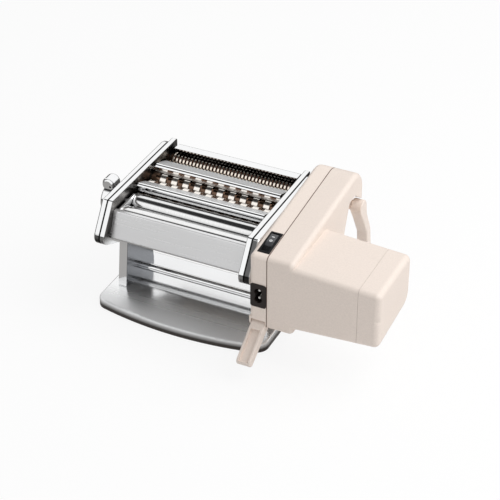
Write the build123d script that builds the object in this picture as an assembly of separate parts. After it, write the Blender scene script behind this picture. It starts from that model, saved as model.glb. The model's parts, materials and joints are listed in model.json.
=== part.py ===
from build123d import *
import os
from math import acos, atan2, cos, degrees, hypot, pi, radians, sin, sqrt, tan

# Electric pasta maker: a chromed roller machine on a pressed base plate, with two smooth rollers,
# a wide and a fine pair of cutting rollers, and a plastic drive unit on its right-hand cheek.
#
# Everything is first drawn in the machine's own frame, in millimetres: X = 0 in the middle of the
# rollers, +X towards the motor, +Y towards the back, Y = 0 just in front of the rear smooth
# roller's axis, and Z = 0 on the table. At the end it is moved so that the origin is the centre of
# the footprint.

# ---------------------------------------------------------------- driving dimensions
# sheet metal and running clearances
SHEET = 1.2                  # side plates, covers, panels and base plate
LEG_SHEET = 1.4
RUNNING = 0.05               # radial clearance of a shaft in its bush
FREE = 0.3                   # gap between pieces that pass or lie beside each other
SNUG = 0.02                  # radial clearance of a pin, stud or screw in its hole

# smooth rollers
ROLLER_R = 12.3
ROLLER_HALF = 70.6           # half the working length
ROLLER_Z = 105.0
DRIVE_Y = -18.1              # front roller, driven
ROLLER_GAP = 1.6             # gap between the smooth rollers with the regulator in mid position
ROLLER_JOURNAL = 6.0
ECCENTRIC = 1.5              # offset of the regulator's eccentric
REGULATOR_SWING = 60.0       # degrees each way

# cheeks: an inner plate and an outer cover on each side
END_GAP = 3.2                # from a smooth roller's end to the inner plate
PLATE_X = ROLLER_HALF + END_GAP
PLATE_RIM = 5.2              # depth of the plate's turned-out rim
PLATE_OUT = PLATE_X + PLATE_RIM
CHEEK_SEAM = 0.9             # gap between the plate's rim and the cover's
COVER_RIM = 6.3              # depth of the cover
COVER_X = PLATE_OUT + CHEEK_SEAM + COVER_RIM
CHEEK_TOP = 130.3            # height of the cheeks over the table
CHEEK_FRONT = -31.8          # front end of the cheek's flat top
CHEEK_NOSE = (-57.0, 92.2)   # corner where the sloping front turns back under the cheek
CHEEK_BACK = 105.0           # rear edge of the cheeks
CHEEK_TAIL = 94.0            # height of the lower rear corner
CHEEK_SOLE = 67.5            # height of the flat underside that stands on the leg
CORNER_TOP = 3.0             # bend radii round the cheek's outline
CORNER_NOSE = 9.0
CORNER_SOLE = 5.0
CORNER_TAIL = 14.0
CORNER_PLATE, CORNER_COVER = 1.5, 14.0    # rear top corner of the plate and of the cover

# legs and base
LEG_X = PLATE_X + 1.7        # inner face of each leg
LEG_WIDTH = 9.6
LEG_MIDDLE = 18.8            # leg's middle line, front to back
LEG_FOOT = 60.0              # front-to-back length at the base
LEG_HEAD = 45.0              # front-to-back length under the cheek
LEG_SCREW_X = LEG_X + 6.5
FOOT_SCREW_INSET, HEAD_SCREW_INSET = 13.0, 10.0     # from the leg's edges, at foot and head
BASE_MARGIN = 10.6           # from a leg's outer edge to the end of the base plate
BASE_HALF = LEG_X + LEG_WIDTH + BASE_MARGIN
BASE_TOP = 11.8              # height of the base plate's top
BASE_LIFT = 2.0              # gap that the feet leave under the base plate's rim
BASE_BACK = 61.0
BASE_BOW = 51.8              # how far the curved front reaches forward in the middle
BASE_SHOULDER = 39.5         # how far it reaches forward at its ends
BASE_CORNER = 13.0
BASE_EDGE = 2.6              # bend radius from the top into the rim
FOOT_R = 7.5
FOOT_STUD_R = 2.5
FOOT_INSET = 15.0            # from the base plate's edges to the middle of a foot
FOOT_X = BASE_HALF - FOOT_INSET
FOOT_FRONT, FOOT_BACK = FOOT_INSET - BASE_SHOULDER, BASE_BACK - FOOT_INSET
ROD_R = 4.0                  # rod between the legs
ROD_Z = 22.5
STUD_R = 2.0                 # threaded end of every rod
NUT_R, NUT_H = 4.0, 2.4
CHEEK_ROD_R = 3.0            # rods between the two inner side plates
CHEEK_RODS = ((-36.0, 96.0), (20.0, 78.0), (62.0, 88.0))
SCREW_R, SCREW_HEAD_R, SCREW_HEAD_H = 1.5, 2.7, 1.5

# cutting rollers
CUTTER_R = 10.0              # over the ribs
CUTTER_CORE = 8.4            # bottom of the grooves
CUTTER_HALF = PLATE_X - 1.2   # half the cutting rollers' length
CUTTER_Z = 110.5
CUTTER_MESH = 1.2            # how deep the ribs of a pair reach into each other
CUTTER_JOURNAL = 5.0
WIDE_Y, FINE_Y = 32.0, 73.5  # front cutting roller of each pair
WIDE_PITCH, FINE_PITCH = 13.0, 4.0
WIDE_COUNT = 2 * int(CUTTER_HALF / WIDE_PITCH) + 1      # ribs on the front roller of each pair
FINE_COUNT = 2 * int(CUTTER_HALF / FINE_PITCH)
WIDE_SIDE, FINE_SIDE = 0.15, 0.2    # side clearance of each rib in its groove

# bushes
BUSH_WALL = 3.0
BUSH_L = 2.7
BUSH_PROUD = 0.8             # how far a bush stands out towards the rollers

# gears: each pair's centre distance gives its module
GEAR_T = 5.0
ROLLER_TEETH = 13
CUTTER_TEETH = 11
DRIVE_TEETH = 28
OUTPUT_TEETH = 22
FRONT_IDLER_TEETH = 16
REAR_IDLER_TEETH = 20
PINION_TEETH = 12
WHEEL_TEETH = 44
OUTPUT_MODULE = 1.25
WHEEL_MODULE = 1.0
PRESSURE = radians(20)
BACKLASH = 0.35
ROLLER_BACKLASH = 0.65       # the smooth rollers' gears stay in mesh while the gap changes
AXLE_R = 3.0

# drive unit: two half shells and an end cap
WALL = 2.5
UNIT_X = COVER_X + FREE      # inner face of the drive unit
SEAM_X = UNIT_X + 18.5       # joint of the two half shells
UNIT_OUT = SEAM_X + 27.5      # outer face of the slab part
CAP_X = UNIT_OUT + 65.5       # joint of the end cap
CAP_LENGTH = 22.0
MOTOR_END = CAP_X + CAP_LENGTH
UNIT_FRONT = -55.0
UNIT_BACK = 119.0
UNIT_BOTTOM = 46.0
UNIT_TOP_FRONT = 128.9
UNIT_SLOPE = 0.0935          # rise of the slab's top towards the back
UNIT_TAIL = (74.0, 93.0)     # the underside turns up here, and meets the back at this height
SEAM_GAP = 0.2
SLAB_EDGE = 5.0
SLAB_FRONT_R, SLAB_BACK_R, SLAB_TAIL_R, SLAB_LOW_R = 5.0, 23.0, 12.0, 14.0
MOTOR_TOP, MOTOR_TOP_END = 124.0, 119.6
MOTOR_BOTTOM, MOTOR_BOTTOM_END = 51.6, 57.4
MOTOR_BACK, MOTOR_BACK_END = 28.0, 27.0
MOTOR_RISE = 7.0             # the motor housing's underside rises this much towards the back
MOTOR_TOP_R, MOTOR_REAR_R = 5.0, 9.0         # the housing's front top and rear top edges
MOTOR_TAIL_R, MOTOR_LOW_R = 16.0, 7.0        # its rear bottom and front bottom edges
CAP_EDGE = 6.0
MOTOR_Y, MOTOR_Z = -25.0, 86.0
MOTOR_R = 22.0
MOTOR_SHAFT_R = 2.5
MOTOR_NEAR = UNIT_OUT - 8.5
MOTOR_FAR = MOTOR_NEAR + 60.0
SCREW_POSTS = ((-47.5, 62.0), (-47.5, 120.5), (104.0, 128.0), (54.0, 56.0))

# rocker switch, on the slab's sloping top
SWITCH_X, SWITCH_Y = SEAM_X - 7.0, -32.0
BEZEL_W, BEZEL_L, BEZEL_H = 12.6, 32.5, 8.0
BEZEL_PROUD = 1.0
ROCKER_W, ROCKER_L = 7.6, 24.0
ROCKER_TILT = 8.0

# mains inlet, two pins 8.6 mm apart, on the front face
INLET_X, INLET_Z = SEAM_X - 8.6, 83.7
INLET_W, INLET_H = 16.6, 26.5       # flange
INLET_BODY_W, INLET_BODY_H, INLET_D = 13.6, 23.0, 13.0
INLET_PROUD = 0.8
LOBE_R, WAIST, PIN_PITCH, PIN_R, PIN_L = 4.0, 6.2, 8.6, 1.15, 8.5
INLET_FLOOR = 2.0

# latch levers under the front and at the back of the drive unit
LATCH_W = 15.0
FRONT_LATCH_X = SEAM_X - 9.0
FRONT_PIVOT = (-49.0, 47.5)
FRONT_TOE = (-84.0, 25.0)
RECESS_X = SEAM_X + 7.0       # inner wall of the rear lever's recess
RECESS_LOW = (60.0, 30.0)     # corners of the recess in side view, from below and round its top
RECESS_FRONT, RECESS_TOP = (71.5, 92.0), (82.0, 119.5)
RECESS_CREST, RECESS_END = (97.5, 119.5), (UNIT_BACK + 8, 98.0)
REAR_LATCH_W = 12.0
REAR_LATCH_X = RECESS_X + 18.0
REAR_PIVOT = (113.6, 96.6)
REAR_KNEE = (118.6, 83.0)
REAR_SHIN = (131.5, 58.5)
REAR_TOE = (136.0, 30.0)
LATCH_PIN = 2.2

# hopper, guards and panels
LIP = (-31.0, 119.6)         # the front panel's upper edge
PANEL_FOOT = (-43.4, 93.6)
REAR_INSET, REAR_DROP = 1.5, 4.0     # rear panel's skirt and strip, in from the cheeks' edges
REAR_LOW, REAR_STRIP = 88.0, 11.5    # its lower edge and the width of its strip
PANEL_SLIT = 2.6             # slit between the front panel's face and each inner plate
SCRAPER_REACH = 9.0
GUIDE_X, GUIDE_T = ROLLER_HALF - 0.8, 1.8
GUIDE_LOW, GUIDE_TOP = 112.8, 119.2
GUARD_T = 1.0
GUARD_BEND = 3.6             # bend from a guard's upright nose into its sloping top
GUARD_GAP = 3.6              # from the guards' and the rear strip's ends to the inner plates
GUARD_CORNER = 3.5
FRONT_GUARD = ((10.9, 120.2), (10.9, 128.8), (28.1, 122.0))     # foot, corner and rear edge
MIDDLE_GUARD = ((49.5, 121.2), (49.5, 130.2), (70.0, 123.4))
GUARD_TAB = 4.0              # height of the tabs that hold the guards

# regulator knob
HUB_R, HUB_NEAR = 16.0, COVER_X + 2.6
HUB_FAR = HUB_NEAR + 15.2
GRIP_R, GRIP_X, GRIP_Z = 7.6, 5.0 - HUB_FAR, 123.0
GRIP_NOSE, GRIP_FRONT, GRIP_BACK = 1.0, 3.6, 16.0   # tip of its nose, and ends of its round body
GRIP_MARK = 2.9              # offset of the index hole in the nose

# ---------------------------------------------------------------- derived places
ADJUST_Y = DRIVE_Y + 2 * ROLLER_R + ROLLER_GAP
CUTTER_STEP = 2 * CUTTER_R - CUTTER_MESH
PANEL_HALF = PLATE_X - FREE
TRAVEL = ECCENTRIC * sin(radians(REGULATOR_SWING))
GEAR_X = PLATE_OUT + FREE
BLOCK = 10.0                 # half the width and height of the sliding blocks
JAW_X = -(PLATE_OUT + 0.5)
DISC_R = 6.0
SHAFT_R = 4.0
OUTPUT_X = UNIT_X + WALL + 2.5      # near side of the output gears
OUTPUT_T = 6.0
WHEEL_X, WHEEL_T = SEAM_X + 5.0, 5.0
SHAFT_END = OUTPUT_X + OUTPUT_T + 1.0
WEB_GAP = 1.0                # clearance of the shafts where they pass through the housing's wall


# ---------------------------------------------------------------- drawing helpers
def profile(points, radii):
    """Closed face in the YZ plane with rounded corners."""
    return make_face(Plane.YZ * FilletPolyline(*points, radius=radii, close=True))


def along_x(face, x0, x1):
    """Extrude a YZ face from x0 to x1."""
    return Pos(x0, 0, 0) * extrude(face, amount=x1 - x0, dir=(1, 0, 0))


def box(x, y, z):
    """Box given by its low and high limits along each axis."""
    size = (x[1] - x[0], y[1] - y[0], z[1] - z[0])
    return Pos(*((v[0] + v[1]) / 2 for v in (x, y, z))) * Box(*size)


def bar_x(radius, x0, x1, y, z):
    """Round bar along X."""
    return Pos((x0 + x1) / 2, y, z) * Rot(0, 90, 0) * Cylinder(radius, x1 - x0)


def ring_x(outer, inner, x0, x1, y, z):
    return bar_x(outer, x0, x1, y, z) - bar_x(inner, x0 - 1, x1 + 1, y, z)


def turned(steps, y, z):
    """Turned part about X from (x, radius) steps, each radius running from its x to the next x."""
    points = [(steps[0][0], 0)]
    for (x, radius), (x_next, _) in zip(steps, steps[1:]):
        points += [(x, radius), (x_next, radius)]
    points.append((steps[-1][0], 0))
    face = make_face(Plane.XZ * Polyline(*points, close=True))
    return Pos(0, y, z) * revolve(face, axis=Axis.X)


def folded(points, bends, thickness):
    """YZ face of a folded sheet: the line is its outer side, walked with the sheet on the left."""
    line = Plane.YZ * FilletPolyline(*points, radius=bends)
    return make_face(offset(line, amount=thickness, side=Side.RIGHT))


def mirror_x(shape):
    return mirror(shape, about=Plane.YZ)


# ---------------------------------------------------------------- gears
def involute(angle):
    return tan(angle) - angle


def gear_face(teeth, module, backlash, phase, addendum=1.0, dedendum=1.25):
    """Toothed YZ face about the origin, with a tooth's middle at the given phase angle."""
    pitch_r = teeth * module / 2
    base_r = pitch_r * cos(PRESSURE)
    tip_r, root_r = pitch_r + addendum * module, pitch_r - dedendum * module
    half = (pi * module / 2 - backlash) / 2 / pitch_r
    tip_half = half + involute(PRESSURE) - involute(acos(base_r / tip_r))
    root_half = half + involute(PRESSURE)
    if root_r > base_r:
        root_half -= involute(acos(base_r / root_r))
    points = []
    for i in range(teeth):
        middle = phase + 2 * pi * i / teeth
        for radius, turn in ((root_r, -root_half), (tip_r, -tip_half), (tip_r, tip_half),
                             (root_r, root_half)):
            points.append((radius * cos(middle + turn), radius * sin(middle + turn)))
    return make_face(Plane.YZ * Polyline(*points, close=True))


def gear(teeth, module, backlash, phase, x0, thickness, place, bore, **depths):
    body = along_x(gear_face(teeth, module, backlash, phase, **depths), x0, x0 + thickness)
    body -= bar_x(bore, x0 - 1, x0 + thickness + 1, 0, 0)
    return Pos(0, *place) * body


def meshing(phase, teeth, place, mate_teeth, mate_place):
    """Phase of the mating gear that puts one of its gaps over this gear's tooth."""
    line = atan2(mate_place[1] - place[1], mate_place[0] - place[0])
    tooth = (line - phase) * teeth / (2 * pi)
    return line + pi - (0.5 - tooth) * 2 * pi / mate_teeth


def between(one, two, from_one, from_two, side):
    """Point at given distances from two others, on the chosen side (+1 or -1) of their line."""
    span = hypot(two[0] - one[0], two[1] - one[1])
    along = (from_one ** 2 - from_two ** 2 + span ** 2) / (2 * span)
    off = side * sqrt(from_one ** 2 - along ** 2)
    u = ((two[0] - one[0]) / span, (two[1] - one[1]) / span)
    return (one[0] + along * u[0] - off * u[1], one[1] + along * u[1] + off * u[0])


# places of the turning axes, as (y, z)
DRIVE = (DRIVE_Y, ROLLER_Z)
ADJUST = (ADJUST_Y, ROLLER_Z)
WIDE = (WIDE_Y, CUTTER_Z)
WIDE_REAR = (WIDE_Y + CUTTER_STEP, CUTTER_Z)
FINE = (FINE_Y, CUTTER_Z)
FINE_REAR = (FINE_Y + CUTTER_STEP, CUTTER_Z)
MOTOR = (MOTOR_Y, MOTOR_Z)


def reach(teeth_a, teeth_b, module):
    return (teeth_a + teeth_b) * module / 2


FRONT_IDLER = between(DRIVE, WIDE, reach(DRIVE_TEETH, FRONT_IDLER_TEETH, OUTPUT_MODULE),
                      reach(FRONT_IDLER_TEETH, OUTPUT_TEETH, OUTPUT_MODULE), 1)
REAR_IDLER = between(WIDE, FINE, reach(OUTPUT_TEETH, REAR_IDLER_TEETH, OUTPUT_MODULE),
                     reach(REAR_IDLER_TEETH, OUTPUT_TEETH, OUTPUT_MODULE), -1)
REDUCTION = between(DRIVE, MOTOR, reach(DRIVE_TEETH, PINION_TEETH, OUTPUT_MODULE),
                    reach(WHEEL_TEETH, PINION_TEETH, WHEEL_MODULE), 1)

# tooth phases, each worked out from the gear before it in the train
DRIVE_PHASE = 0.0
FRONT_IDLER_PHASE = meshing(DRIVE_PHASE, DRIVE_TEETH, DRIVE, FRONT_IDLER_TEETH, FRONT_IDLER)
WIDE_PHASE = meshing(FRONT_IDLER_PHASE, FRONT_IDLER_TEETH, FRONT_IDLER, OUTPUT_TEETH, WIDE)
REAR_IDLER_PHASE = meshing(WIDE_PHASE, OUTPUT_TEETH, WIDE, REAR_IDLER_TEETH, REAR_IDLER)
FINE_PHASE = meshing(REAR_IDLER_PHASE, REAR_IDLER_TEETH, REAR_IDLER, OUTPUT_TEETH, FINE)
REDUCTION_PHASE = meshing(DRIVE_PHASE, DRIVE_TEETH, DRIVE, PINION_TEETH, REDUCTION)
MOTOR_PHASE = meshing(REDUCTION_PHASE, WHEEL_TEETH, REDUCTION, PINION_TEETH, MOTOR)
SHAFTS = (DRIVE, WIDE, FINE)          # shafts that run on into the drive unit


# ---------------------------------------------------------------- cheeks, legs and base
def cheek_face(corner, inset=0.0):
    """Outline of a cheek in side view, from the sheet's outer side inwards."""
    front, back = LEG_MIDDLE - LEG_HEAD / 2, LEG_MIDDLE + LEG_HEAD / 2
    points = [(CHEEK_FRONT, CHEEK_TOP), CHEEK_NOSE, (front, CHEEK_SOLE), (back, CHEEK_SOLE),
              (CHEEK_BACK, CHEEK_TAIL), (CHEEK_BACK, CHEEK_TOP)]
    radii = [CORNER_TOP, CORNER_NOSE, CORNER_SOLE, CORNER_SOLE, CORNER_TAIL, corner]
    face = profile(points, radii)
    return offset(face, amount=-inset) if inset else face


def fixed_shafts():
    """Places of the bushes that sit in round holes, with the journal radius that each takes."""
    cutters = [(place, CUTTER_JOURNAL) for place in (WIDE, WIDE_REAR, FINE, FINE_REAR)]
    return [(DRIVE, ROLLER_JOURNAL)] + cutters


def block_window():
    """Window in which a sliding block of the rear smooth roller moves."""
    half_y, half_z = BLOCK + TRAVEL + FREE, BLOCK + FREE
    return box((PLATE_X - 5, PLATE_OUT + 5), (ADJUST_Y - half_y, ADJUST_Y + half_y),
               (ROLLER_Z - half_z, ROLLER_Z + half_z))


def side_plate():
    """Right inner plate: a web between the rollers and the gears, with a rim turned outwards."""
    plate = along_x(cheek_face(CORNER_PLATE), PLATE_X, PLATE_OUT)
    plate -= along_x(cheek_face(CORNER_PLATE, SHEET), PLATE_X + SHEET, PLATE_OUT + 1)
    for place, journal in fixed_shafts():
        plate -= bar_x(journal + BUSH_WALL + SNUG, PLATE_X - 1, PLATE_OUT, *place)
    for place in CHEEK_RODS:
        plate -= bar_x(STUD_R + SNUG, PLATE_X - 1, PLATE_X + 2, *place)
    return plate - block_window()


def side_cover():
    """Right outer cover: a pan whose rim meets the plate's rim, with a soft outer edge."""
    body = along_x(cheek_face(CORNER_COVER), PLATE_OUT + CHEEK_SEAM, COVER_X)
    rim = body.faces().sort_by(Axis.X)[-1].edges()
    body = fillet(rim, 2 * SHEET)
    body -= along_x(cheek_face(CORNER_COVER, SHEET), PLATE_OUT, COVER_X - SHEET)
    for x, y in head_screws():
        body -= Pos(x, y, CHEEK_SOLE) * Cylinder(SCREW_R + SNUG, 3 * SHEET)
    return body


def left_side_cover():
    hole = bar_x(SHAFT_R + BUSH_WALL + SNUG, -COVER_X - 1, -PLATE_OUT, *ADJUST)
    return mirror_x(side_cover()) - hole


def right_side_cover():
    cover = side_cover()
    for place in SHAFTS:
        cover -= bar_x(ROLLER_JOURNAL + WEB_GAP, PLATE_OUT, COVER_X + 1, *place)
    return cover


def leg():
    """Right leg: a channel of sheet, open to the outside, with a tab at each end."""
    foot, head, top = LEG_FOOT / 2, LEG_HEAD / 2, CHEEK_SOLE
    corners = [(-foot, BASE_TOP), (foot, BASE_TOP), (head, top), (-head, top)]
    outer = profile([(LEG_MIDDLE + y, z) for y, z in corners], [LEG_SHEET] * 4)
    body = along_x(outer, LEG_X, LEG_X + LEG_WIDTH)
    body -= along_x(offset(outer, amount=-LEG_SHEET), LEG_X + LEG_SHEET, LEG_X + LEG_WIDTH + 1)
    body -= bar_x(STUD_R + SNUG, LEG_X - 1, LEG_X + LEG_SHEET + 1, LEG_MIDDLE, ROD_Z)
    for (x, y), z in [(xy, BASE_TOP) for xy in foot_screws()] + [(xy, top) for xy in head_screws()]:
        body -= Pos(x, y, z) * Cylinder(SCREW_R + SNUG, 3 * LEG_SHEET)
    return body


def foot_screws():
    """Places of the right leg's screws into the base plate."""
    reach = LEG_FOOT / 2 - FOOT_SCREW_INSET
    return [(LEG_SCREW_X, LEG_MIDDLE - reach), (LEG_SCREW_X, LEG_MIDDLE + reach)]


def head_screws():
    """Places of the right leg's screws into the cover's underside."""
    reach = LEG_HEAD / 2 - HEAD_SCREW_INSET
    return [(LEG_SCREW_X, LEG_MIDDLE - reach), (LEG_SCREW_X, LEG_MIDDLE + reach)]


def leg_screws():
    """Pan-head screws through the legs' tabs, down into the base and up into the covers."""
    shank = Cylinder(SCREW_R, 3 * SHEET + LEG_SHEET)
    down = Pos(0, 0, -1.5 * SHEET - LEG_SHEET / 2) * shank
    head = Pos(0, 0, SCREW_HEAD_H / 2) * Cylinder(SCREW_HEAD_R, SCREW_HEAD_H)
    screw = down + chamfer(head.faces().sort_by(Axis.Z)[-1].edges(), SCREW_HEAD_H / 2)
    low, high = BASE_TOP + LEG_SHEET, CHEEK_SOLE - LEG_SHEET
    right = [Pos(x, y, low) * screw for x, y in foot_screws()]
    right += [Pos(x, y, high) * Rot(180, 0, 0) * screw for x, y in head_screws()]
    return right + [mirror_x(piece) for piece in right]


def rod(radius, reach, sheet, place):
    """Round rod between two sheets, stepped down to threaded ends that pass through them."""
    end = reach + sheet + NUT_H + 0.8
    return turned([(-end, STUD_R), (-reach, radius), (reach, STUD_R), (end, 0)], *place)


def nuts(near, place):
    """Pair of hexagon nuts on the ends of a rod."""
    hexagon = Plane.YZ * RegularPolygon(NUT_R, 6)
    nut = Pos(0, *place) * along_x(hexagon, near, near + NUT_H)
    nut -= bar_x(STUD_R + SNUG, near - 1, near + NUT_H + 1, *place)
    return [nut, mirror_x(nut)]


def rod_nuts():
    pairs = nuts(LEG_X + LEG_SHEET, (LEG_MIDDLE, ROD_Z))
    for place in CHEEK_RODS:
        pairs += nuts(PLATE_X + SHEET, place)
    return pairs


def base_face(inset=0.0):
    """Plan of the base plate: straight back and sides and a bowed front."""
    half, back = BASE_HALF - inset, BASE_BACK - inset
    bow, shoulder = BASE_BOW - inset, BASE_SHOULDER - inset
    front = ThreePointArc((-half, -shoulder), (0, -bow), (half, -shoulder))
    rest = Polyline((half, -shoulder), (half, back), (-half, back), (-half, -shoulder))
    face = make_face([front, *rest.edges()])
    return fillet(face.vertices(), max(BASE_CORNER - inset, 1))


def base_plate():
    height = BASE_TOP - BASE_LIFT
    plate = Pos(0, 0, BASE_LIFT) * extrude(base_face(), amount=height, dir=(0, 0, 1))
    plate = fillet(plate.faces().sort_by(Axis.Z)[-1].edges(), BASE_EDGE)
    hollow = extrude(base_face(SHEET), amount=height - SHEET, dir=(0, 0, 1))
    plate -= Pos(0, 0, BASE_LIFT) * hollow
    for x, y in foot_places():
        plate -= Pos(x, y, BASE_TOP) * Cylinder(FOOT_STUD_R + SNUG, 4 * SHEET)
    for x, y in foot_screws():
        hole = Pos(x, y, BASE_TOP) * Cylinder(SCREW_R + SNUG, 4 * SHEET)
        plate -= hole
        plate -= mirror_x(hole)
    return plate


def foot_places():
    return [(x, y) for x in (-FOOT_X, FOOT_X) for y in (FOOT_FRONT, FOOT_BACK)]


def base_feet():
    """Four rubber feet under the plate, each with a stud pushed through it."""
    under = BASE_TOP - SHEET
    foot = Pos(0, 0, under / 2) * Cylinder(FOOT_R, under)
    foot = chamfer(foot.faces().sort_by(Axis.Z)[0].edges(), 1.0)
    foot += Pos(0, 0, under + SHEET / 2) * Cylinder(FOOT_STUD_R, SHEET)
    return [Pos(x, y, 0) * foot for x, y in foot_places()]


# ---------------------------------------------------------------- panels, guards and hopper
def across(face):
    return along_x(face, -PANEL_HALF, PANEL_HALF)


def front_panel():
    """Leaning front panel with a lip folded back at the top and a return at the foot, both of
    which reach the plates while its face stops short of them."""
    y, z = LIP
    foot_y, foot_z = PANEL_FOOT
    points = [(y + 4.5, z - 0.6), (y, z), (foot_y, foot_z), (foot_y + 5.5, foot_z - 2.2)]
    section = folded(points, [1.6, 1.6], SHEET)
    back = 1.8
    behind = [(y + back, z + 5), (foot_y + back, foot_z), (foot_y + back, foot_z - 5),
              (y + 9, foot_z - 5), (y + 9, z + 5)]
    tabs = across(section) & across(make_face(Plane.YZ * Polyline(*behind, close=True)))
    return along_x(section, PANEL_SLIT - PLATE_X, PLATE_X - PANEL_SLIT) + tabs


def rear_panel():
    """Cover strip behind the fine cutters, folded down over the back into a wider skirt."""
    back, top = CHEEK_BACK - REAR_INSET, CHEEK_TOP - REAR_DROP
    points = [(back, REAR_LOW), (back, top - 0.2), (back - REAR_STRIP, top)]
    panel = across(folded(points, [2.5], SHEET))
    for side in (-1, 1):
        x = sorted((side * (PLATE_X - GUARD_GAP), side * (PLATE_X + 1)))
        panel -= box(x, (back - 2 * REAR_STRIP, back + 1), (top - 5.0, top + 1))
    return panel


def guard(foot, corner, rear):
    """Chrome shield of thin sheet with an upright nose, a sloping top and rounded corners, and a
    tab at each end that holds it between the plates."""
    end = PLATE_X - GUARD_GAP
    body = along_x(folded([rear, corner, foot], [GUARD_BEND], GUARD_T), -end, end)
    body = fillet([e for e in body.edges() if abs(e.length - GUARD_T) < 0.01], GUARD_CORNER)
    low = foot[1] + 1.5
    return body + across(Plane.YZ * Pos(foot[0] + GUARD_T / 2, low + GUARD_TAB / 2)
                         * Rectangle(GUARD_T, GUARD_TAB))


def hopper_guide():
    """Right dough guide: an upright plate that dips into the valley between the smooth rollers,
    hung on the side plate by an ear."""
    top, low = GUIDE_TOP, GUIDE_LOW
    front, back = DRIVE_Y - 8.5, ADJUST_Y - 1.5
    points = [(front, top - 1.0), (front, low), (back, low), (back, top)]
    plate = along_x(profile(points, [0.6, 0, 0, 1.5]), GUIDE_X, GUIDE_X + GUIDE_T)
    for y in (DRIVE_Y, ADJUST_Y - TRAVEL, ADJUST_Y, ADJUST_Y + TRAVEL):
        plate -= bar_x(ROLLER_R + FREE, GUIDE_X - 1, GUIDE_X + GUIDE_T + 1, y, ROLLER_Z)
    ear_y = (DRIVE_Y + ADJUST_Y) / 2 - 3.0
    return plate + box((GUIDE_X, PLATE_X), (ear_y, ear_y + 4.0), (top - 4.5, top - 1.5))


def front_scraper():
    y, z = DRIVE_Y, ROLLER_Z - ROLLER_R - 0.6
    points = [(y - 1.0, z), (y - SCRAPER_REACH, z - 3.5), (y - SCRAPER_REACH, z - SCRAPER_REACH)]
    return across(folded(points, [1.0], SHEET))


# ---------------------------------------------------------------- rollers
def drive_roller():
    """Front smooth roller, turned in one piece with its shaft into the drive unit."""
    steps = [(-PLATE_X - BUSH_L, ROLLER_JOURNAL), (-ROLLER_HALF, ROLLER_R),
             (ROLLER_HALF, ROLLER_JOURNAL), (SHAFT_END, 0)]
    return turned(steps, *DRIVE)


def adjustable_roller():
    steps = [(JAW_X + 1.5, ROLLER_JOURNAL), (-ROLLER_HALF, ROLLER_R),
             (ROLLER_HALF, ROLLER_JOURNAL), (GEAR_X + GEAR_T, 0)]
    return turned(steps, *ADJUST)


def roller_carriage():
    """Two sliding blocks for the rear roller, joined by a bar under it, with the slot of the
    regulator's eccentric on the left block."""
    ear_x0, ear_x1 = ROLLER_HALF + FREE, PLATE_X - FREE
    bar_z = (ROLLER_Z - 19.5, ROLLER_Z - 15.5)
    bar_y = (ADJUST_Y + 2.0, ADJUST_Y + 10.0)
    y_lim = (ADJUST_Y - BLOCK, ADJUST_Y + BLOCK)
    z_lim = (ROLLER_Z - BLOCK, ROLLER_Z + BLOCK)
    ear = box((ear_x0, ear_x1), y_lim, (bar_z[0], GUIDE_LOW - FREE))
    right = ear + box((ear_x1, PLATE_OUT - 0.5), y_lim, z_lim)
    left = mirror_x(ear) + box((JAW_X, -ear_x1), y_lim, z_lim)
    for side in (-1, 1):
        y = sorted((ADJUST_Y + side * (DISC_R + 0.25), ADJUST_Y + side * BLOCK))
        left += box((JAW_X - 3.4, JAW_X), y, z_lim)
    body = left + right + box((-ear_x0, ear_x0), bar_y, bar_z)
    body -= bar_x(ROLLER_JOURNAL + RUNNING, JAW_X + 1.0, -ear_x0 + 1, *ADJUST)
    return body - bar_x(ROLLER_JOURNAL + RUNNING, ear_x0 - 1, PLATE_OUT, *ADJUST)


def rear_scraper():
    """Strip on the carriage's bar that clears the rear roller."""
    low = ROLLER_Z - 15.5
    return box((-ROLLER_HALF, ROLLER_HALF), (ADJUST_Y + 2.0, ADJUST_Y + 2.0 + SHEET),
               (low, low + 2.4))


def rib_steps(centres, width):
    """Steps of a cutting roller's body: a core with square ribs, closed by its ends."""
    steps = [(-CUTTER_HALF, CUTTER_CORE)]
    for centre in centres:
        x0, x1 = max(centre - width / 2, -CUTTER_HALF), min(centre + width / 2, CUTTER_HALF)
        if x0 <= -CUTTER_HALF:
            steps[0] = (x0, CUTTER_R)
        else:
            steps.append((x0, CUTTER_R))
        steps.append((x1, CUTTER_CORE))
    if steps[-1][0] >= CUTTER_HALF:
        steps.pop()
    return steps


def cutter(place, pitch, count, side, drives):
    """Cutting roller. The front roller of a pair has count ribs and drives on the right; the rear
    one has its ribs over the front one's grooves."""
    span = (count - 1) / 2 * pitch
    if drives:
        centres = [i * pitch - span for i in range(count)]
    else:
        centres = [(i + 0.5) * pitch - span for i in range(count - 1)]
    steps = [(-GEAR_X - GEAR_T, CUTTER_JOURNAL)] + rib_steps(centres, pitch / 2 - side)
    steps += [(CUTTER_HALF, CUTTER_JOURNAL), (SHAFT_END if drives else PLATE_X + BUSH_L, 0)]
    return turned(steps, *place)


def side_bushes():
    """Sleeve bushes of the right inner plate, one for each fixed shaft."""
    bushes = []
    for place, journal in fixed_shafts():
        x0, x1 = PLATE_X - BUSH_PROUD, PLATE_X + BUSH_L
        bushes.append(ring_x(journal + BUSH_WALL, journal + RUNNING, x0, x1, *place))
    return bushes


def cutter_combs(place, x_centres, slot):
    """Comb under a cutting roller: a strip whose teeth reach up into the grooves."""
    y, z = place
    top, root = z - CUTTER_CORE - FREE, z - CUTTER_R - FREE
    comb = across(profile([(y - 0.7, root - 5), (y + 0.7, root - 5), (y + 0.7, root),
                           (y - 0.7, root)], [0] * 4))
    for x in x_centres:
        comb += box((x - slot / 2, x + slot / 2), (y - 0.7, y + 0.7), (root, top))
    return comb


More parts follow.
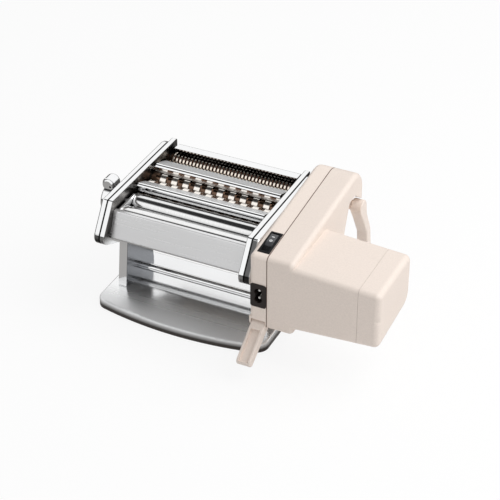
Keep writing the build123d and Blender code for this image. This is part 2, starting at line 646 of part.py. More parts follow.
def groove_centres(pitch, count, drives):
    """Middles of a cutting roller's grooves."""
    span = (count - 1) / 2 * pitch
    if drives:
        return [(i + 0.5) * pitch - span for i in range(count - 1)]
    return [i * pitch - span for i in range(count)]


def combs(front, rear, pitch, count, side):
    slot = pitch / 2 - 2 * FREE - side
    return [cutter_combs(front, groove_centres(pitch, count, True), slot),
            cutter_combs(rear, groove_centres(pitch, count, False), slot)]


# ---------------------------------------------------------------- gears of the roller machine
def roller_gear(place, phase):
    module = (ADJUST_Y - DRIVE_Y) / ROLLER_TEETH
    return gear(ROLLER_TEETH, module, ROLLER_BACKLASH, phase, GEAR_X, GEAR_T, place,
                ROLLER_JOURNAL, addendum=0.95, dedendum=1.75)


def cutter_gear(place, phase):
    module = CUTTER_STEP / CUTTER_TEETH
    return gear(CUTTER_TEETH, module, BACKLASH, phase, -GEAR_X - GEAR_T, GEAR_T, place,
                CUTTER_JOURNAL, addendum=0.85, dedendum=1.15)


# ---------------------------------------------------------------- thickness regulator
def regulator_shaft():
    """Shaft through the left cover with the eccentric disc that moves the carriage."""
    disc = bar_x(DISC_R, JAW_X - 3.2, JAW_X - 0.3, ADJUST_Y, ROLLER_Z - ECCENTRIC)
    return disc + bar_x(SHAFT_R, -HUB_FAR + 3.0, JAW_X - 3.2, *ADJUST)


def regulator_bush():
    outer = SHAFT_R + BUSH_WALL
    bush = bar_x(outer, -COVER_X, -COVER_X + 2.0, *ADJUST)
    bush += bar_x(outer + 2.0, -COVER_X - 1.6, -COVER_X, *ADJUST)
    return bush - bar_x(SHAFT_R + RUNNING, -COVER_X - 3, -COVER_X + 4, *ADJUST)


def grip_core(radius, y0, y1):
    return Pos(GRIP_X, (y0 + y1) / 2, GRIP_Z) * Rot(90, 0, 0) * Cylinder(radius, y1 - y0)


def regulator_knob():
    """Round hub on the shaft, with a saddle for the cross grip."""
    hub = bar_x(HUB_R, -HUB_FAR, -HUB_NEAR, *ADJUST)
    hub = chamfer(hub.edges(), 1.6)
    hub -= bar_x(SHAFT_R + SNUG, -HUB_FAR + 3.0, -HUB_NEAR + 1, *ADJUST)
    hub -= grip_core(GRIP_R, GRIP_FRONT, GRIP_BACK)
    return hub - grip_core(GRIP_R - 1.4, GRIP_NOSE, GRIP_FRONT)


def regulator_grip():
    """Short cross grip on the hub: a round body with a nose that carries the index hole."""
    grip = grip_core(GRIP_R, GRIP_FRONT, GRIP_BACK)
    grip = fillet(grip.faces().sort_by(Axis.Y)[-1].edges(), 3.0)
    grip = chamfer(grip.faces().sort_by(Axis.Y)[0].edges(), 0.8)
    nose = grip_core(GRIP_R - 1.4, GRIP_NOSE, GRIP_FRONT + 3)
    nose = chamfer(nose.faces().sort_by(Axis.Y)[0].edges(), 0.9)
    mark = Pos(GRIP_MARK, 0, -0.7) * grip_core(1.2, GRIP_NOSE - 1, GRIP_NOSE + 2)
    return grip + nose - mark


# ---------------------------------------------------------------- drive unit housings
def slab_top(y):
    return UNIT_TOP_FRONT + UNIT_SLOPE * (y - UNIT_FRONT)


def slab_face(inset=0.0):
    """Side view of the slab: upright front, gently rising top, round shoulder at the back."""
    tail_y, tail_z = UNIT_TAIL
    points = [(UNIT_FRONT, UNIT_BOTTOM), (UNIT_FRONT, slab_top(UNIT_FRONT)),
              (UNIT_BACK, slab_top(UNIT_BACK)), (UNIT_BACK, tail_z), (tail_y, UNIT_BOTTOM)]
    face = profile(points, [SLAB_FRONT_R, SLAB_FRONT_R, SLAB_BACK_R, SLAB_TAIL_R, SLAB_LOW_R])
    return offset(face, amount=-inset) if inset else face


def slab_block(x0, x1, edge_x):
    """Part of the slab between two X planes, with its outline rounded at edge_x."""
    block = along_x(slab_face(), x0, x1)
    side = -1 if edge_x == x1 else 0
    return fillet(block.faces().sort_by(Axis.X)[side].edges(), SLAB_EDGE)


def recess_face(grow=0.0):
    """Side view of the pocket at the rear of the outer shell, in which the lever swings."""
    points = [(RECESS_FRONT[0] - grow, RECESS_FRONT[1]),
              (RECESS_TOP[0] - grow, RECESS_TOP[1] + grow),
              (RECESS_CREST[0], RECESS_CREST[1] + grow), (RECESS_END[0], RECESS_END[1] + grow),
              (RECESS_END[0], RECESS_LOW[1]), (RECESS_LOW[0] - grow, RECESS_LOW[1])]
    return profile(points, [4.0, 6.0, 3.0, 0, 0, 0])


def motor_section(x, inset=0.0):
    """Four-sided section of the motor housing at a given X, tapering towards its end."""
    t = (x - UNIT_OUT) / (MOTOR_END - UNIT_OUT)
    top = MOTOR_TOP + (MOTOR_TOP_END - MOTOR_TOP) * t - inset
    low = MOTOR_BOTTOM + (MOTOR_BOTTOM_END - MOTOR_BOTTOM) * t + inset
    back = MOTOR_BACK + (MOTOR_BACK_END - MOTOR_BACK) * t - inset
    front = UNIT_FRONT + inset
    points = [(front, top), (back, top), (back, low + MOTOR_RISE), (front, low)]
    return Pos(x, 0, 0) * make_face(Plane.YZ * Polyline(*points, close=True))


def motor_body(x0, x1, inset=0.0, end_edge=0.0):
    """Stretch of the motor housing, with its four long edges rounded, and its end if asked."""
    body = loft([motor_section(x0, inset), motor_section(x1, inset)], ruled=True)
    long_edges = [edge for edge in body.edges() if abs(edge.tangent_at(0.5).X) > 0.5]
    radii = (MOTOR_TOP_R, MOTOR_REAR_R, MOTOR_TAIL_R, MOTOR_LOW_R)
    for radius, (high, rear) in zip(radii, ((1, 0), (1, 1), (0, 1), (0, 0))):
        edge = [e for e in long_edges if (e.center().Z > MOTOR_Z) == bool(high)
                and (e.center().Y > MOTOR_Y) == bool(rear)]
        body = fillet(same_edges(body, edge), max(radius - inset, 1))
    if end_edge:
        body = fillet(body.faces().sort_by(Axis.X)[-1].edges(), end_edge)
    return body


def same_edges(body, edges):
    """The body's own edges that lie where the given ones do."""
    return [e for e in body.edges() for old in edges
            if (e.center() - old.center()).length < 0.5 and abs(e.length - old.length) < 1.0]


def post_holes(radius, x0, x1):
    return [bar_x(radius, x0, x1, y, z) for y, z in SCREW_POSTS]


def inner_housing():
    """Inner half shell of the drive unit, against the machine's right cheek."""
    seam = SEAM_X - SEAM_GAP / 2
    shell = slab_block(UNIT_X, seam, UNIT_X)
    shell -= along_x(slab_face(WALL), UNIT_X + WALL, seam + 1)
    floor = UNIT_X + WALL
    bosses = post_holes(3.6, floor, seam)
    bosses += [bar_x(AXLE_R + 2.5, floor, OUTPUT_X - 0.3, *place)
               for place in (FRONT_IDLER, REAR_IDLER, REDUCTION)]
    shell = shell.fuse(*bosses)
    for place in SHAFTS:
        shell -= bar_x(ROLLER_JOURNAL + WEB_GAP, UNIT_X - 1, floor + 1, *place)
    for place in (FRONT_IDLER, REAR_IDLER, REDUCTION):
        shell -= bar_x(AXLE_R + SNUG, UNIT_X + 1.0, OUTPUT_X + 1, *place)
    for hole in post_holes(1.7, UNIT_X - 1, seam + 1) + post_holes(3.2, UNIT_X - 1, UNIT_X + 1.8):
        shell -= hole
    shell -= switch_pocket()
    shell -= inlet_block(INLET_BODY_W, INLET_BODY_H, UNIT_FRONT - 1, UNIT_FRONT + WALL + 1)
    shell += latch_shield()
    shell -= latch_pocket()
    return shell - bar_x(LATCH_PIN + SNUG, UNIT_X + 0.6, SEAM_X, *FRONT_PIVOT)


def latch_pocket():
    """Notch at the lower front corner in which the front lever's knuckle turns."""
    y, z = FRONT_PIVOT
    half = LATCH_W / 2 + FREE
    return box((FRONT_LATCH_X - half, FRONT_LATCH_X + half), (UNIT_FRONT - 1, y + 8.0),
               (UNIT_BOTTOM - 1, z + 7.0))


def latch_shield():
    """Wall that closes the inside of the shell over the front lever's notch."""
    y, z = FRONT_PIVOT
    half = LATCH_W / 2 + FREE
    outer = box((UNIT_X + 0.1, SEAM_X - SEAM_GAP / 2), (UNIT_FRONT + 0.1, y + 8.0 + WALL),
                (UNIT_BOTTOM + 0.1, z + 7.0 + WALL))
    return outer & along_x(slab_face(0.05), UNIT_X, SEAM_X)


def outer_housing():
    """Outer half shell: the slab's other half with the motor's housing drawn out of it."""
    seam = SEAM_X + SEAM_GAP / 2
    cap = CAP_X - SEAM_GAP / 2
    slab = slab_block(seam, UNIT_OUT, UNIT_OUT) - along_x(recess_face(), RECESS_X, UNIT_OUT + 9)
    inside = along_x(slab_face(WALL), seam - 1, UNIT_OUT - WALL)
    inside -= along_x(recess_face(WALL), RECESS_X - WALL, UNIT_OUT + 9)
    start = UNIT_OUT - 12
    body = slab + motor_body(start, cap)
    body -= inside
    body -= motor_body(start + 6, cap + 1, WALL)
    posts = post_holes(3.6, seam, UNIT_OUT - WALL + 0.5)
    y, z = REAR_PIVOT
    knuckle = REAR_LATCH_X - REAR_LATCH_W / 2
    posts.append(bar_x(LATCH_PIN + 3.0, RECESS_X - 0.5, knuckle - FREE, y, z))
    body = body.fuse(*posts)
    for x0 in (MOTOR_NEAR + 14, MOTOR_FAR - 8):
        rib = motor_body(x0, x0 + 3, WALL - 0.2)
        body += rib - bar_x(MOTOR_R + SNUG, x0 - 1, x0 + 4, *MOTOR)
    for hole in post_holes(1.3 + SNUG, seam - 1, seam + 14):
        body -= hole
    return body - bar_x(LATCH_PIN + SNUG, RECESS_X + 1.0, REAR_LATCH_X, y, z)


def motor_end_cap():
    near = CAP_X + SEAM_GAP / 2
    cap = motor_body(near, MOTOR_END, end_edge=CAP_EDGE)
    return cap - motor_body(near - 1, MOTOR_END - WALL, WALL)


def housing_screws():
    """Four long screws from the inner shell into the posts of the outer one."""
    head = UNIT_X + 0.2
    return [bar_x(3.0, head, UNIT_X + 1.8, y, z) + bar_x(1.3, UNIT_X + 1.8, SEAM_X + 12, y, z)
            for y, z in SCREW_POSTS]


# ---------------------------------------------------------------- gear train and motor
def output_gear(teeth, phase, place, journal):
    return gear(teeth, OUTPUT_MODULE, BACKLASH, phase, OUTPUT_X, OUTPUT_T, place, journal)


def idler_gear(teeth, phase, place):
    return gear(teeth, OUTPUT_MODULE, BACKLASH, phase, OUTPUT_X, OUTPUT_T, place,
                AXLE_R + RUNNING)


def gear_axle(place, far):
    """Axle pin pressed into the inner shell, with a retaining head at its far end."""
    return (bar_x(AXLE_R, UNIT_X + 1.0, far, *place)
            + bar_x(AXLE_R + 1.2, far, far + 1.2, *place))


def gear_axles():
    short = OUTPUT_X + OUTPUT_T + FREE
    places = [(FRONT_IDLER, short), (REAR_IDLER, short), (REDUCTION, WHEEL_X + WHEEL_T + FREE)]
    return [gear_axle(place, far) for place, far in places]


def reduction_gear():
    """Large wheel and small pinion of the reduction, joined by a hub."""
    wheel = gear(WHEEL_TEETH, WHEEL_MODULE, BACKLASH, REDUCTION_PHASE, WHEEL_X, WHEEL_T,
                 REDUCTION, AXLE_R + RUNNING)
    pinion = gear(PINION_TEETH, OUTPUT_MODULE, BACKLASH, REDUCTION_PHASE, OUTPUT_X, OUTPUT_T,
                  REDUCTION, AXLE_R + RUNNING)
    hub = ring_x(AXLE_R + 2.6, AXLE_R + RUNNING, OUTPUT_X + OUTPUT_T, WHEEL_X, *REDUCTION)
    return wheel + pinion + hub


def motor_pinion():
    return gear(PINION_TEETH, WHEEL_MODULE, BACKLASH, MOTOR_PHASE, WHEEL_X - 0.5, WHEEL_T + 2,
                MOTOR, MOTOR_SHAFT_R + SNUG)


def motor_can():
    """Motor body with its two bearing noses."""
    can = chamfer(bar_x(MOTOR_R, MOTOR_NEAR, MOTOR_FAR, *MOTOR).edges(), 2.0)
    can += bar_x(7.0, MOTOR_NEAR - 3.5, MOTOR_NEAR, *MOTOR)
    can += bar_x(6.0, MOTOR_FAR, MOTOR_FAR + 3.0, *MOTOR)
    return can - bar_x(MOTOR_SHAFT_R + RUNNING, MOTOR_NEAR - 5, MOTOR_FAR + 5, *MOTOR)


def motor_shaft():
    return bar_x(MOTOR_SHAFT_R, WHEEL_X - 1.5, MOTOR_FAR + 4.5, *MOTOR)


# ---------------------------------------------------------------- switch and inlet
def on_slab_top(shape):
    """Move a piece drawn about the origin onto the slab's sloping top at the switch."""
    tilt = Rot(degrees(atan2(UNIT_SLOPE, 1)), 0, 0)
    return Pos(SWITCH_X, SWITCH_Y, slab_top(SWITCH_Y)) * tilt * shape


def switch_pocket():
    return on_slab_top(Pos(0, 0, -BEZEL_H / 2) * Box(BEZEL_W - 1.6, BEZEL_L - 1.6, BEZEL_H * 3))


def rocker_blank(grow=0.0):
    """Rocker about its own pivot: a shallow roof form seen from the side."""
    w, l = ROCKER_W / 2 + grow, ROCKER_L / 2 + grow
    points = [(-l, -2.2 - grow), (l, -2.2 - grow), (l, 1.6), (0, 3.2), (-l, 1.6)]
    return along_x(profile(points, [0, 0, 0.5, 8.0, 0.5]), -w, w)


def switch_bezel():
    """Frame on the slab's top with a deep well for the rocker."""
    frame = Pos(0, 0, BEZEL_PROUD / 2) * Box(BEZEL_W, BEZEL_L, BEZEL_PROUD)
    frame = chamfer(frame.faces().sort_by(Axis.Z)[-1].edges(), 0.5)
    frame += Pos(0, 0, -BEZEL_H / 2) * Box(BEZEL_W - 1.8, BEZEL_L - 1.8, BEZEL_H)
    well = Pos(0, 0, -BEZEL_H / 2 + 1.6) * Box(ROCKER_W + 2 * FREE, ROCKER_L + 4.0, BEZEL_H)
    frame -= well
    return on_slab_top(frame - bar_x(0.8, -BEZEL_W / 2 + 1, BEZEL_W / 2 - 1, 0, -1.5))


def switch_rocker():
    """Rocker with its two pivot stubs, lying with its front end pressed."""
    body = rocker_blank() + bar_x(0.75, -ROCKER_W / 2 - 1.2, ROCKER_W / 2 + 1.2, 0, 0)
    return on_slab_top(Pos(0, 0, -1.5) * Rot(ROCKER_TILT, 0, 0) * body)


def inlet_block(width, height, y0, y1):
    block = box((INLET_X - width / 2, INLET_X + width / 2), (y0, y1),
                (INLET_Z - height / 2, INLET_Z + height / 2))
    return fillet(block.edges().filter_by(Axis.Y), 2.5)


def lobe(radius, z, y0, y1):
    return Pos(INLET_X, (y0 + y1) / 2, z) * Rot(90, 0, 0) * Cylinder(radius, y1 - y0)


def inlet_socket():
    """Moulded socket with the figure-of-eight well of a two-pin appliance inlet."""
    y0, depth = UNIT_FRONT - INLET_PROUD, UNIT_FRONT + INLET_D
    body = inlet_block(INLET_W, INLET_H, y0, UNIT_FRONT)
    body += inlet_block(INLET_BODY_W, INLET_BODY_H, UNIT_FRONT, depth)
    well = (y0 - 1, depth - INLET_FLOOR)
    body -= box((INLET_X - WAIST / 2, INLET_X + WAIST / 2), well,
                (INLET_Z - PIN_PITCH / 2, INLET_Z + PIN_PITCH / 2))
    for side in (-1, 1):
        z = INLET_Z + side * PIN_PITCH / 2
        body -= lobe(LOBE_R, z, *well)
        body -= lobe(PIN_R + SNUG, z, depth - INLET_FLOOR - 1, depth + 1)
    return body


def inlet_pins():
    tip = UNIT_FRONT + INLET_D - INLET_FLOOR - PIN_L
    return [lobe(PIN_R, INLET_Z + side * PIN_PITCH / 2, tip, UNIT_FRONT + INLET_D + 3)
            for side in (-1, 1)]


# ---------------------------------------------------------------- latch levers
def arm_face(nodes):
    """Side view of a lever: discs of given radii joined by their common tangents."""
    face = None
    for (a, ra), (b, rb) in zip(nodes, nodes[1:]):
        discs = (Pos(*a) * Circle(ra)).edges() + (Pos(*b) * Circle(rb)).edges()
        piece = Plane.YZ * make_hull(discs)
        face = piece if face is None else face + piece
    return face


def lever(nodes, groove, x0, x1):
    """Moulded lever with a recessed channel along its outer side."""
    body = along_x(arm_face(nodes), x0, x1)
    body = chamfer(body.faces().sort_by(Axis.X)[0].edges(), 0.8)
    body = chamfer(body.faces().sort_by(Axis.X)[-1].edges(), 0.8)
    return body - along_x(arm_face(groove), x0 + 2.6, x1 - 2.6)


def shifted(nodes, y, z, radius):
    return [((p[0] + y, p[1] + z), radius) for p in nodes]


def front_latch():
    """Front lever, bored right through its knuckle."""
    nodes = [(FRONT_PIVOT, 5.8), (FRONT_TOE, 4.6)]
    start = (FRONT_PIVOT[0] - 11, FRONT_PIVOT[1] - 7.1)
    x0, x1 = FRONT_LATCH_X - LATCH_W / 2, FRONT_LATCH_X + LATCH_W / 2
    body = lever(nodes, shifted([start, FRONT_TOE], -2.6, 4.0, 3.2), x0, x1)
    return body - bar_x(LATCH_PIN + RUNNING, x0 - 1, x1 + 1, *FRONT_PIVOT)


def rear_latch():
    """Rear lever, with a blind bore for its pin."""
    nodes = [(REAR_PIVOT, 8.0), (REAR_KNEE, 5.2), (REAR_SHIN, 4.6), (REAR_TOE, 4.8)]
    start = (REAR_KNEE[0] + 2, REAR_KNEE[1] - 5)
    x0, x1 = REAR_LATCH_X - REAR_LATCH_W / 2, REAR_LATCH_X + REAR_LATCH_W / 2
    body = lever(nodes, shifted([start, REAR_SHIN, REAR_TOE], 4.2, 1.6, 3.0), x0, x1)
    return body - bar_x(LATCH_PIN + RUNNING, x0 - 1, x1 - 2.0, *REAR_PIVOT)


def front_latch_pin():
    return bar_x(LATCH_PIN, UNIT_X + 0.6, SEAM_X - SEAM_GAP / 2, *FRONT_PIVOT)


def rear_latch_pin():
    return bar_x(LATCH_PIN, RECESS_X + 1.0, REAR_LATCH_X + REAR_LATCH_W / 2 - 2.2, *REAR_PIVOT)


# ---------------------------------------------------------------- assembly
def machine_nodes():
    plate, legs = side_plate(), leg()
    guide, bushes = hopper_guide(), side_bushes()
    wide = (WIDE_PITCH, WIDE_COUNT, WIDE_SIDE)
    fine = (FINE_PITCH, FINE_COUNT, FINE_SIDE)
    cutter_phase = pi / CUTTER_TEETH
    return {
        "base_plate": base_plate(),
        "base_feet": base_feet(),
        "left_leg": mirror_x(legs),
        "right_leg": legs,
        "leg_screws": leg_screws(),
        "leg_rod": rod(ROD_R, LEG_X, LEG_SHEET, (LEG_MIDDLE, ROD_Z)),
        "cheek_rods": [rod(CHEEK_ROD_R, PLATE_X, SHEET, place) for place in CHEEK_RODS],
        "rod_nuts": rod_nuts(),
        "left_side_plate": mirror_x(plate),
        "right_side_plate": plate,
        "left_side_cover": left_side_cover(),
        "right_side_cover": right_side_cover(),
        "roller_bushes": [mirror_x(bush) for bush in bushes] + bushes,
        "front_panel": front_panel(),
        "rear_panel": rear_panel(),
        "front_guard": guard(*FRONT_GUARD),
        "middle_guard": guard(*MIDDLE_GUARD),
        "hopper_guides": [mirror_x(guide), guide],
        "front_scraper": front_scraper(),
        "drive_roller": drive_roller(),
        "drive_roller_gear": roller_gear(DRIVE, 0.0),
        "adjustable_roller": adjustable_roller(),
        "adjustable_roller_gear": roller_gear(ADJUST, pi + pi / ROLLER_TEETH),
        "roller_carriage": roller_carriage(),
        "rear_scraper": rear_scraper(),
        "regulator_shaft": regulator_shaft(),
        "regulator_bush": regulator_bush(),
        "regulator_knob": regulator_knob(),
        "regulator_grip": regulator_grip(),
        "wide_cutter_front": cutter(WIDE, *wide, True),
        "wide_cutter_rear": cutter(WIDE_REAR, *wide, False),
        "wide_gear_front": cutter_gear(WIDE, 0.0),
        "wide_gear_rear": cutter_gear(WIDE_REAR, pi + cutter_phase),
        "wide_combs": combs(WIDE, WIDE_REAR, *wide),
        "fine_cutter_front": cutter(FINE, *fine, True),
        "fine_cutter_rear": cutter(FINE_REAR, *fine, False),
        "fine_gear_front": cutter_gear(FINE, 0.0),
        "fine_gear_rear": cutter_gear(FINE_REAR, pi + cutter_phase),
        "fine_combs": combs(FINE, FINE_REAR, *fine),
    }


def drive_unit_nodes():
    return {
        "inner_housing": inner_housing(),
        "outer_housing": outer_housing(),
        "motor_end_cap": motor_end_cap(),
        "housing_screws": housing_screws(),
        "drive_output_gear": output_gear(DRIVE_TEETH, DRIVE_PHASE, DRIVE, ROLLER_JOURNAL),
        "wide_output_gear": output_gear(OUTPUT_TEETH, WIDE_PHASE, WIDE, CUTTER_JOURNAL),
        "fine_output_gear": output_gear(OUTPUT_TEETH, FINE_PHASE, FINE, CUTTER_JOURNAL),
        "front_idler_gear": idler_gear(FRONT_IDLER_TEETH, FRONT_IDLER_PHASE, FRONT_IDLER),
        "rear_idler_gear": idler_gear(REAR_IDLER_TEETH, REAR_IDLER_PHASE, REAR_IDLER),
        "reduction_gear": reduction_gear(),
        "gear_axles": gear_axles(),
        "motor_pinion": motor_pinion(),
        "motor_can": motor_can(),
        "motor_shaft": motor_shaft(),
        "switch_bezel": switch_bezel(),
        "switch_rocker": switch_rocker(),
        "inlet_socket": inlet_socket(),
        "inlet_pins": inlet_pins(),
        "front_latch": front_latch(),
        "rear_latch": rear_latch(),
        "latch_pins": [front_latch_pin(), rear_latch_pin()],
    }


def as_node(name, shape):
    solids = shape if isinstance(shape, list) else [shape]
    solids = [solid for piece in solids for solid in piece.solids()]
    node = solids[0] if len(solids) == 1 else Compound(children=solids)
    node.label = name
    return node


def footprint_shift(nodes):
    """Move that puts the origin under the middle of the whole object."""
    bounds = Compound(children=[solid for node in nodes for solid in node.solids()]).bounding_box()
    return (-bounds.center().X, -bounds.center().Y, 0)


NODES = {name: as_node(name, shape)
         for name, shape in {**machine_nodes(), **drive_unit_nodes()}.items()}
SHIFT = footprint_shift(NODES.values())

os.makedirs("parts", exist_ok=True)
for name, node in NODES.items():
    export_step(Pos(*SHIFT) * node, f"parts/{name}.step")
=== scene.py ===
"""Looks of the electric pasta maker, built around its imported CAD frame. Metres throughout."""
import bpy
import json
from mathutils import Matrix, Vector


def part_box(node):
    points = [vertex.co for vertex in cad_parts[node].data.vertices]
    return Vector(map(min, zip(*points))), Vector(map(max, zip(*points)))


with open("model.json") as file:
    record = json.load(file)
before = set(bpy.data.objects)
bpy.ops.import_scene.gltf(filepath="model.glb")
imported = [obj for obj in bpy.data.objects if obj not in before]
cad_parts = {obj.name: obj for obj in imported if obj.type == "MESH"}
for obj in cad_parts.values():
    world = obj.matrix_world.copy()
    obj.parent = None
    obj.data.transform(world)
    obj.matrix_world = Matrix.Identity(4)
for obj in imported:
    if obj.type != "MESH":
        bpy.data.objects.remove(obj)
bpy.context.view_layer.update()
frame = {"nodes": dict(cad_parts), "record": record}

# the machine's own origin: between the legs, and this far in front of the base plate's back
BASE_BACK = 0.061
BASE_LOW, BASE_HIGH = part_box("base_plate")
ORIGIN = Vector(((BASE_LOW.x + BASE_HIGH.x) / 2, BASE_HIGH.y - BASE_BACK, 0.0))

# places that the finishes follow
LEFT_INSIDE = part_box("left_side_plate")[1].x
RIGHT_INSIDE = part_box("right_side_plate")[0].x
LEFT_JOINT = (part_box("left_side_plate")[0].x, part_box("left_side_cover")[1].x)       # plate, cover
RIGHT_JOINT = (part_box("right_side_plate")[1].x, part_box("right_side_cover")[0].x)
NOSE = (0.0, ORIGIN.y - 0.057, 0.0922)   # the cheeks' lower front corner, in side view
SLOPE = ORIGIN.y - 0.0318                # where the cheeks' flat top ends
PANEL_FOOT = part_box("front_panel")[0].z
STUD_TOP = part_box("base_feet")[1].z
SEAM = (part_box("inner_housing")[1].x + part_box("outer_housing")[0].x) / 2
CAP_SEAM = (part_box("outer_housing")[1].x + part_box("motor_end_cap")[0].x) / 2

# camera, from the machine's origin
CAMERA_AT = Vector((0.6197, -1.1697, 0.9766))
CAMERA_AIM = Vector((0.0564, 0.0102, 0.0846))
LENS = 114.5

# light: a soft lamp, the world's fill, and what gloss mirrors, a bright tent by its height and a
# table that darkens with the distance from the machine
KEY_AT, KEY_AIM = Vector((1.05, 0.25, 1.35)), Vector((0.05, 0.0, 0.1))
KEY_SIZE, KEY_POWER = 1.4, 19.0
FILL = 0.5
GLOSS_STRENGTH = 1.05
GLOSS_RAMP = ((0.0, 0.02), (0.10, 0.05), (0.19, 0.85), (0.27, 1.0), (0.82, 1.0), (0.88, 0.03),
              (1.0, 0.02))
TABLE_REACH = (0.2, 0.4)
TABLE_NEAR, TABLE_FAR = (0.42, 0.41, 0.40), (0.22, 0.215, 0.21)
FLOOR_HALF = 4.0
FLOOR_LIFT = 0.88            # how far the floor is lifted towards white, to the camera alone

# colours
CHROME = (0.90, 0.905, 0.91)
GUARD = (0.95, 0.955, 0.96)
PANEL = (0.93, 0.93, 0.935)
LEG_WEB = (0.26, 0.27, 0.29)
# the next colour is painted shade on the side plates' faces beside the rollers
INSIDE_SHADE = (0.10, 0.095, 0.09)
# the next colour is painted shade, in the cheeks' joints and under the front panel's foot
SHADE_BLACK = (0.02, 0.02, 0.02)
# the next colour is painted shade on the cheeks' toes and on the right cover's front slope
TOE_SHADE = (0.03, 0.03, 0.03)
# the next colour is a painted dark reflection low on the base plate's rim
RIM_DARK_REFLECTION = (0.06, 0.05, 0.046)
CREAM = (0.87, 0.765, 0.69)
# the next colour is painted shade in the joint of the housing's shells
SEAM_SHADE = (0.17, 0.10, 0.075)
RUBBER = (0.02, 0.02, 0.02)
BLACK = (0.006, 0.006, 0.007)            # the rocker and its bezel
ROCKER_REAR = (0.06, 0.06, 0.065)
MARK = (0.85, 0.85, 0.85)

# patterns, in features per metre
PATCHES, BASE_PATCHES = 18, 14           # soft patches in plating
WIPING = 45
MOTTLE = 22                              # soft patches in plastic and rubber
SHEEN, ROCKER_SHEEN = 60, 300            # gloss patches in plastic
GRAIN = 2600                             # moulded surface
HOUSING_GRAIN, HOUSING_LINES = 650, 700
PANEL_LINES, PANEL_PATCHES = 1400, 12
CUTTER_OIL = 700

# corners' painted shade: how far it reaches, how dark it gets, and how open a face lies that gets
# none
CORNER_REACH, CORNER_DARK, CORNER_OPEN = 0.012, 0.12, 0.75

# where a finish ends: each pair holds the two distances between which it fades, in or out
# the cheeks' joints get painted shade over these distances
JOINT_SHADE = (0.0003, 0.0005)            # from the joint between a side plate and its cover
INSIDE_SKIN = (0.0002, 0.0005)           # from a side plate's face beside the rollers
INSIDE_RISE = (0.085, 0.1)               # heights at which that face's painted shade fades in
# the toes' painted shade fades over these distances
PLATE_TOE, COVER_TOE = (0.004, 0.009), (0.005, 0.011)        # from a cheek's nose
PLATE_RIM, COVER_RIM = (0.004, 0.0045), (0.0045, 0.0055)     # across, from the joint
SLOPE_EDGE = 0.001                       # ahead of the flat top's end
LEG_SKIN = (0.0003, 0.0008)              # from a leg's inner face
PANEL_TURN = (0.0008, 0.0034)            # above the panel's foot
BASE_AHEAD = (-0.045, -0.01)             # from the machine's origin, towards the front
# the rim's painted dark reflection is full below the first height and gone above the second
BASE_RIM = (0.0055, 0.0106)              # heights
GUARD_TOP = (0.0035, 0.0065)             # behind a guard's nose
GUARD_NOSE = (0.0052, 0.0042)            # below a guard's crown
RIB_EDGE = (0.0085, 0.0098)              # from a cutting roller's axis
STUD_HEAD = (0.0012, 0.0010)             # below a stud's end
SEAM_WIDTH, CAP_SEAM_WIDTH = (0.00025, 0.0007), (0.0001, 0.0005)     # from the shells' joints

# rocker, from its middle towards its raised end: where its black ends, its bar and its ring, with
# half of their thickness and of the bar's width as pairs that fade
ROCKER_SHADE = (-0.0065, -0.0045)
BAR_Y, BAR_THICK, BAR_HALF = 0.0068, (0.0004, 0.0006), (0.0013, 0.0016)
RING_Y, RING_R, RING_THICK = 0.001, 0.0011, (0.0003, 0.0005)


# ---------------------------------------------------------------- node materials
def shade(colour, factor):
    return tuple(min(c * factor, 1.0) for c in colour)


